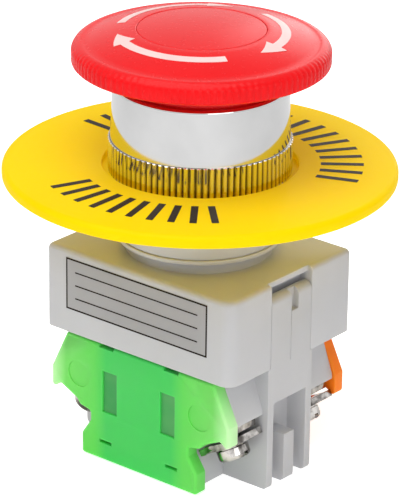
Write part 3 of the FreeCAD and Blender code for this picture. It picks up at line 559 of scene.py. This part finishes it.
def makeStem(size, top, bore):
    piece = spunPiece("head_stem", [
        (0, size["tailLow"]),
        (size["tail"], size["tailLow"]),
        (size["tail"], size["grooveLow"]),
        (size["groove"], size["grooveLow"]),
        (size["groove"], size["grooveTop"]),
        (size["tail"], size["grooveTop"]),
        (size["tail"], size["shaftLow"]),
        (size["shaft"], size["shaftLow"]),
        (size["shaft"], size["hubCeiling"]),
        (size["hub"] - size["hubWall"], size["hubCeiling"]),
        (size["hub"] - size["hubWall"], size["hubBottom"]),
        (size["hub"], size["hubBottom"]),
        (size["hub"], top),
        (bore, top),
        (bore, size["boreLow"]),
        (0, size["boreLow"]),
    ])
    dress(piece, redAbs, "head", "head_red", "push_stem")


makeStem(stemSize, headSize["ceiling"], headSize["screwHole"])
print("head made")


# bezel ring: smooth collar over a knurled foot
bezelSize = {
    "thread": 10.95, "low": 1, "knurl": 14.25, "knurlEdge": 0.12, "knurlTop": 6.25,
    "collar": 13.65, "flare": 0.3, "flareRound": 170, "top": 15.15, "edgeRound": 0.5, "bore": 12.9,
    "flutes": 88, "fluteColumns": 6, "fluteDepth": 0.28, "fluteFlank": 0.6, "fluteInset": 0.1,
}


def makeBezel(size):
    edge = size["knurlEdge"]
    piece = spunPiece("bezel", [
        (size["thread"], size["low"]),
        (size["knurl"] - edge, size["low"]),
        (size["knurl"], size["low"] + edge),
        (size["knurl"], size["knurlTop"] - edge),
        (size["knurl"] - edge, size["knurlTop"]),
        (size["collar"] + size["flare"], size["knurlTop"]),
        (size["collar"], size["top"] - size["edgeRound"], -size["flareRound"]),
        (size["collar"] - size["edgeRound"], size["top"], size["edgeRound"]),
        (size["bore"], size["top"]),
        (size["bore"], size["knurlTop"]),
        (size["thread"], size["knurlTop"]),
        (size["thread"], size["low"]),
    ], size["flutes"] * size["fluteColumns"])
    deep = (size["knurl"], size["fluteDepth"])
    flank = (size["knurl"], size["fluteDepth"] * size["fluteFlank"])
    pressFlutes(piece, size["flutes"], size["fluteColumns"],
                {0: deep, 1: flank, size["fluteColumns"] - 1: flank},
                size["low"], size["knurlTop"], size["knurl"] - size["fluteInset"])
    dress(piece, chromePlate, "base", "chrome", "bezel_ring")
    piece.data.materials.append(knurledChrome)
    # the knurled foot and the thin ledge on its top take the knurl chrome, whose painted groove shade also
    # darkens the ledge
    for side in piece.data.polygons:
        x, y, z = side.center / mm
        onFoot = z < size["knurlTop"] + edge and math.hypot(x, y) > size["collar"] + size["flare"]
        side.material_index = int(onFoot)


makeBezel(bezelSize)
print("bezel made")


# legend plate and the rings under it
plateSize = {
    "hole": 11.2, "seat": 13.3, "seatDepth": 0.3, "radius": 30.6, "thickness": 2, "topRound": 0.9,
    "lowRound": 0.5, "recess": 15.2, "recessFloor": 1, "recessRound": 0.25, "segments": 256,
}


def makePlate(size):
    piece = spunPiece("plate", [
        (size["hole"], size["seatDepth"]),
        (size["seat"], size["seatDepth"]),
        (size["seat"], 0),
        (size["radius"] - size["lowRound"], 0),
        (size["radius"], size["lowRound"], size["lowRound"]),
        (size["radius"], size["thickness"] - size["topRound"]),
        (size["radius"] - size["topRound"], size["thickness"], size["topRound"]),
        (size["recess"] + size["recessRound"], size["thickness"]),
        (size["recess"], size["thickness"] - size["recessRound"], size["recessRound"]),
        (size["recess"], size["recessFloor"]),
        (size["hole"], size["recessFloor"]),
        (size["hole"], size["seatDepth"]),
    ], size["segments"])
    dress(piece, yellowAbs, "base", "plate_yellow", "legend_plate")


makePlate(plateSize)

ringSizes = {
    "panel_gasket": {"outer": 13, "low": -1.5, "high": 0.3, "edge": 0.2},
    "upper_spacer": {"outer": 12.75, "low": -5.4, "high": -1.5, "edge": 0.3},
    "lower_spacer": {"outer": 12.75, "low": -9.3, "high": -5.4, "edge": 0.3},
    "seat_washer": {"outer": 12.95, "low": -10, "high": -9.3, "edge": 0.15},
}
ringFinishes = {"panel_gasket": (sealRubber, "seal_rubber")}  # the other rings are white nylon
ringArcSteps = 4


def makeRing(node, size, bore):
    outer, edge = size["outer"], size["edge"]
    material, slot = ringFinishes.get(node, (whiteNylon, "housing_white"))
    piece = spunPiece(f"{node}_ring", [
        (bore, size["low"]),
        (outer - edge, size["low"]),
        (outer, size["low"] + edge, edge),
        (outer, size["high"] - edge),
        (outer - edge, size["high"], edge),
        (bore, size["high"]),
        (bore, size["low"]),
    ], steps=ringArcSteps)
    dress(piece, material, "base", slot, node)


for node, size in ringSizes.items():
    makeRing(node, size, plateSize["hole"])
print("plate and rings made")


# contact base and its four snap arms: one moulding
contactSize = {"edgeRound": 0.2, "rooting": 0.5, "finRound": 0.8, "finSteps": 4, "touch": 0.01}


def makeContactBody(size):
    body = mergedCopy("contact_base", "contact_body")
    low, high = (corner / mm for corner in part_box("contact_base"))
    bpy.ops.object.mode_set(mode="EDIT")
    selectPoints(body, lambda at: at.z < low.z + size["touch"] and abs(at.x) > high.x - size["touch"])
    bpy.ops.mesh.bevel(offset=size["finRound"] * mm, segments=size["finSteps"])  # corners of fins and posts
    bpy.ops.object.mode_set(mode="OBJECT")
    arms = [f"{end}_{half}_arm" for end in ("left", "right") for half in ("front", "rear")]
    for node in arms:
        arm = mergedCopy(node, f"{node}_blank")
        bpy.ops.object.mode_set(mode="EDIT")
        selectPoints(arm, lambda at: at.z < high.z + size["touch"])
        bpy.ops.transform.translate(value=(0, 0, -size["rooting"] * mm))  # the foot sinks into the base
        bpy.ops.object.mode_set(mode="OBJECT")
        selectOnly(body)
        join = body.modifiers.new("join", "BOOLEAN")
        join.operation = "UNION"
        join.solver = "EXACT"
        join.object = arm
        bpy.ops.object.modifier_apply(modifier=join.name)
        bpy.data.objects.remove(arm)
    softenEdges(body, size["edgeRound"])
    dress(body, whiteNylon, "base", "housing_white", "contact_base", *arms)


makeContactBody(contactSize)
print("contact base made")

# housing, covers and terminals keep their solids' shapes, with soft edges
finishes = {
    "base_housing": ("housing", 0.3, whiteNylon, "housing_white"),
    "front_cover": ("green_cover", 0.15, greenPolycarbonate, "cover_green"),
    "rear_cover": ("orange_cover", 0.15, orangePolycarbonate, "cover_orange"),
}
for end in ("left", "right"):
    for contact in ("no", "nc"):
        corner = f"{contact}_{end}"
        finishes[f"{corner}_clamp"] = (f"{corner}_saddle", 0.3, nickelPlate, "nickel")
        finishes[f"{corner}_washer"] = (f"{corner}_lock", 0.08, nickelPlate, "nickel")
        finishes[f"{corner}_screw"] = (f"{corner}_bolt", 0.12, nickelPlate, "nickel")
        finishes[f"{corner}_strip"] = (f"{corner}_contact", 0.12, nickelPlate, "brass")
for node, (name, edgeRound, material, slot) in finishes.items():
    piece = mergedCopy(node, name)
    softenEdges(piece, edgeRound)
    dress(piece, material, "base", slot, node)
print("housing and terminals made")

# panes of the cover windows: the floors of the recesses, painted darker where the shaded chamber shows
# through
windowSize = {"outer": 7.4, "inner": 4.43, "high": -30.8, "low": -37.9, "depth": 0.4, "touch": 0.05}


def glazeWindows(name, material, size):
    piece = bpy.data.objects[name]
    piece.data.materials.append(material)
    face = max(abs(vertex.co.y) for vertex in piece.data.vertices) / mm
    for side in piece.data.polygons:
        x, y, z = side.center / mm
        deep = abs(abs(y) - (face - size["depth"])) < size["touch"]
        if deep and size["inner"] < abs(x) < size["outer"] and size["low"] < z < size["high"]:
            side.material_index = 1


glazeWindows("green_cover", greenPane, windowSize)
glazeWindows("orange_cover", orangePane, windowSize)
print("windows glazed")

# coil springs of round wire
coilWork = {"wirePoints": 12, "turnSteps": 32, "shadeAngle": 60}
contactCoil = {"low": -44.9, "high": -36.7, "coil": 1.55, "wire": 0.25, "turns": 4}
coilSizes = {
    "return": {"joint": "push", "middle": 0, "low": -1, "high": 17, "coil": 6.6, "wire": 0.5, "turns": 5},
    "no": {"joint": "no_travel", "middle": -9.3, **contactCoil},
    "nc": {"joint": "nc_travel", "middle": 9.3, **contactCoil},
}


def makeCoil(name, size):
    length = size["high"] - size["low"]
    bpy.ops.object.select_all(action="DESELECT")
    bpy.ops.mesh.primitive_circle_add(vertices=coilWork["wirePoints"], radius=size["wire"] * mm,
                                      location=(0, 0, 0))
    piece = bpy.context.object
    piece.name = piece.data.name = f"{name}_coil"
    bpy.ops.object.mode_set(mode="EDIT")
    bpy.ops.mesh.select_all(action="SELECT")
    bpy.ops.transform.rotate(value=math.radians(90), orient_axis="X", center_override=(0, 0, 0))
    bpy.ops.transform.translate(value=Vector((size["coil"], 0, size["low"] + size["wire"])) * mm)
    bpy.ops.object.mode_set(mode="OBJECT")
    winding = piece.modifiers.new("winding", "SCREW")
    winding.iterations = size["turns"]
    winding.screw_offset = (length - 2 * size["wire"]) / size["turns"] * mm
    winding.steps = winding.render_steps = coilWork["turnSteps"]
    bpy.ops.object.modifier_apply(modifier=winding.name)
    bpy.ops.object.mode_set(mode="EDIT")
    bpy.ops.mesh.select_all(action="SELECT")
    bpy.ops.transform.translate(value=(0, size["middle"] * mm, 0))
    bpy.ops.mesh.fill_holes(sides=0)  # flat ends
    closeMesh()
    smoothShade(piece, coilWork["shadeAngle"])
    dress(piece, springSteel, "base", "spring_steel", f"{name}_spring")
    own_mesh(piece)


for name, size in coilSizes.items():
    makeCoil(name, size)
print("springs wound")

# the other pieces inside stay as solids
insideFinishes = {
    "cap_screw": springSteel, "cam_pin": springSteel, "stem_clip": springSteel,
    "left_guide_pin": springSteel, "right_guide_pin": springSteel,
    "operator_neck": darkNylon, "release_cam": greyAcetal, "pusher": greyAcetal,
    "no_plunger": greyAcetal, "nc_plunger": greyAcetal,
    "no_bridge": tinnedBrass, "nc_bridge": tinnedBrass,
}
for node, material in insideFinishes.items():
    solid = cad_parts[node]
    solid.data.materials.clear()
    solid.data.materials.append(material)
print("inside pieces finished")


# release arrows printed on the dome
arrowSize = {
    "radius": 12.85, "width": 1.4, "headWidth": 3.5, "headAngle": 17.7, "barb": 0.6,
    "bodyStep": 3, "headSteps": 8, "lift": 0.02, "ink": 0.04, "across": 6,
    "ends": ((81.7, -7.2), (-33.7, -132.7), (203.5, 108)),  # tail and tip angle of each
}


def domePoint(radius, lift):
    # place on the dome between shoulder and disc
    outer = Vector((headSize["shoulder"], headSize["shoulderTop"]))
    inner = Vector((headSize["recess"] + headSize["lipRound"], headSize["discEdge"]))
    chord = inner - outer
    middle = (inner + outer) / 2
    depth = math.sqrt(headSize["domeRound"] ** 2 - chord.length_squared / 4)
    centre = middle + Vector((-chord.y, chord.x)).normalized() * depth
    height = centre.y + math.sqrt(headSize["domeRound"] ** 2 - (radius - centre.x) ** 2)
    return Vector((radius, 0, height + lift)) * mm


def sweepLine(angle, share, size, turned):
    # the line of points goes on clockwise round the axis and is scaled about its middle
    bpy.ops.mesh.extrude_region_move()
    bpy.ops.transform.rotate(value=math.radians(angle), orient_axis="Z", center_override=(0, 0, 0))
    middle = Matrix.Rotation(-math.radians(turned + angle), 3, "Z") @ domePoint(size["radius"], size["lift"])
    bpy.ops.transform.resize(value=(share, share, share), center_override=middle)
    return turned + angle


def makeArrow(name, tail, tip, size):
    inner = size["radius"] - size["width"] / 2
    spacing = size["width"] / size["across"]
    points = [domePoint(inner + spacing * step, size["lift"]) for step in range(size["across"] + 1)]
    piece = startPoint(name, points[0])
    drawLine(points)
    turned = 0
    bodyAngle = tail - tip - size["headAngle"] - size["barb"]
    bodySteps = round(bodyAngle / size["bodyStep"])
    for step in range(bodySteps):
        turned = sweepLine(bodyAngle / bodySteps, 1, size, turned)
    turned = sweepLine(size["barb"], size["headWidth"] / size["width"], size, turned)
    for left in range(size["headSteps"], 0, -1):
        turned = sweepLine(size["headAngle"] / size["headSteps"], (left - 1) / left, size, turned)
    closeMesh()
    selectOnly(piece)
    ink = piece.modifiers.new("ink", "SOLIDIFY")
    ink.thickness = size["ink"] * mm
    ink.offset = 1
    bpy.ops.object.modifier_apply(modifier=ink.name)
    piece.rotation_euler.z = math.radians(tail)
    bpy.ops.object.transform_apply(location=False, rotation=True, scale=False)
    dress(piece, whiteInk, "head", "head_red")


for number, (tail, tip) in enumerate(arrowSize["ends"], 1):
    makeArrow(f"release_arrow_{number}", tail, tip, arrowSize)
print("arrows made")


# plain graduation marks on the plate, in two arcs
markSize = {
    "inner": 18.6, "outer": 25.2, "width": 1.1, "ink": 0.04,
    "arcs": ((-113, -45, 9), (22, 176, 19)),  # start angle, end angle and number of steps of each
}


def makeMarks(name, start, end, count, size, top):
    middle = (size["inner"] + size["outer"]) / 2
    piece = startStrip(name, size["outer"] - size["inner"], size["width"])
    bpy.ops.transform.translate(value=Vector((middle, 0, top)) * mm)
    bpy.ops.mesh.extrude_region_move(TRANSFORM_OT_translate={"value": (0, 0, size["ink"] * mm)})
    bpy.ops.mesh.select_all(action="SELECT")
    bpy.ops.mesh.spin(steps=count, angle=math.radians(start - end), center=(0, 0, 0), axis=(0, 0, 1),
                      dupli=True)
    closeMesh()
    piece.rotation_euler.z = math.radians(start)
    selectOnly(piece)
    bpy.ops.object.transform_apply(location=False, rotation=True, scale=False)
    dress(piece, blackInk, "base", "plate_yellow")


for number, (start, end, count) in enumerate(markSize["arcs"], 1):
    makeMarks(f"plate_marks_{number}", start, end, count, markSize, plateSize["thickness"])
print("plate marks made")


# label film with a thin printed border on the front of the housing
labelSize = {"left": -14.5, "right": 14, "low": -22, "high": -13.35, "border": 0.28, "film": 0.05}


def makeLabel(size):
    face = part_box("base_housing")[0].y / mm
    middle = Vector(((size["left"] + size["right"]) / 2, face, (size["low"] + size["high"]) / 2)) * mm
    piece = startStrip("label", size["right"] - size["left"], size["high"] - size["low"])
    standOnFront(middle, size["film"])
    bpy.ops.mesh.inset(thickness=size["border"] * mm)
    closeMesh()
    dress(piece, labelFilm, "base", "housing_white")
    piece.data.materials.append(blackInk)
    frontPlace = middle.y - size["film"] * mm
    gap = meshWork["mergeGap"] * mm
    front = [side for side in piece.data.polygons if abs(side.center.y - frontPlace) < gap]
    field = max(front, key=lambda side: side.area)
    for side in front:
        side.material_index = int(side.index != field.index)


makeLabel(labelSize)

ruleSize = {"left": -12.6, "right": 12.1, "high": -15.5, "width": 0.2, "pitch": 2.2, "count": 3, "ink": 0.03}


def makeRules(size):
    # three plain ruled lines, printed on the label
    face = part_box("base_housing")[0].y / mm - labelSize["film"]
    middle = Vector(((size["left"] + size["right"]) / 2, face, size["high"])) * mm
    piece = startStrip("label_rules", size["right"] - size["left"], size["width"])
    standOnFront(middle, size["ink"])
    closeMesh()
    rows = piece.modifiers.new("rows", "ARRAY")
    rows.use_relative_offset = False
    rows.use_constant_offset = True
    rows.constant_offset_displace = (0, 0, -size["pitch"] * mm)
    rows.count = size["count"]
    bpy.ops.object.modifier_apply(modifier=rows.name)
    dress(piece, blackInk, "base", "housing_white")


makeRules(ruleSize)
print("label made")


# floor, soft studio lamps and an even pale surrounding
stageSettings = {
    "floor": 3000, "floorColour": "#f2f2f2", "floorRoughness": 0.9,
    "floorGlow": 0.7, "floorMirrored": 0.15, "floorBounce": 0.57,
    "worldSeen": 1, "worldBounce": 0.1, "lampAim": (0, 0, -15),
}
lampSettings = {
    "overhead": {"place": (0, -200, 650), "size": 800, "power": 5.5},
    "front": {"place": (-450, -600, 480), "size": 420, "power": 0.3},
    "side": {"place": (640, -300, 280), "size": 420, "power": 1.25},
    "rear": {"place": (-200, 640, 200), "size": 420, "power": 0.8},
}


def backgroundGlow(tree, bounced, mirrored, seen):
    # strength for the light that falls on things, for reflected and refracted rays, and for the camera
    rays = addNode(tree, "ShaderNodeLightPath", {})
    levels = {"Is Glossy Ray": mirrored, "Is Transmission Ray": mirrored, "Is Camera Ray": seen}
    strength = None
    for kind, level in levels.items():
        glow = addNode(tree, "ShaderNodeMix", {"A": bounced, "B": level}, {"Factor": rays.outputs[kind]})
        if strength:
            tree.links.new(strength, glow.inputs["A"])
        strength = glow.outputs["Result"]
    return strength


def makeStage(settings, lamps):
    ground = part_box("contact_base")[0].z
    bpy.ops.object.select_all(action="DESELECT")
    bpy.ops.mesh.primitive_plane_add(size=settings["floor"] * mm, location=(0, 0, ground))
    floor = bpy.context.object
    floor.name = "floor"
    paper, tree, shader = newMaterial("floor_paper", {
        "Base Color": linear(settings["floorColour"]), "Roughness": settings["floorRoughness"],
        "Emission Color": (1, 1, 1, 1),
    })
    glow = backgroundGlow(tree, settings["floorBounce"], settings["floorMirrored"], settings["floorGlow"])
    tree.links.new(glow, shader.inputs["Emission Strength"])
    floor.data.materials.append(paper)
    for name, lamp in lamps.items():
        place = Vector(lamp["place"]) * mm
        turn = (Vector(settings["lampAim"]) * mm - place).to_track_quat("-Z", "Y")
        bpy.ops.object.light_add(type="AREA", location=place, rotation=turn.to_euler())
        light = bpy.context.object
        light.name = f"{name}_softbox"
        light.data.shape = "SQUARE"
        light.data.size = lamp["size"] * mm
        light.data.energy = lamp["power"]
    world = bpy.data.worlds.new("studio")
    bpy.context.scene.world = world
    world.use_nodes = True
    tree = world.node_tree
    background = tree.nodes["Background"]
    background.inputs["Color"].default_value = (1, 1, 1, 1)
    glow = backgroundGlow(tree, settings["worldBounce"], settings["worldSeen"], settings["worldSeen"])
    tree.links.new(glow, background.inputs["Strength"])


makeStage(stageSettings, lampSettings)
print("stage made")
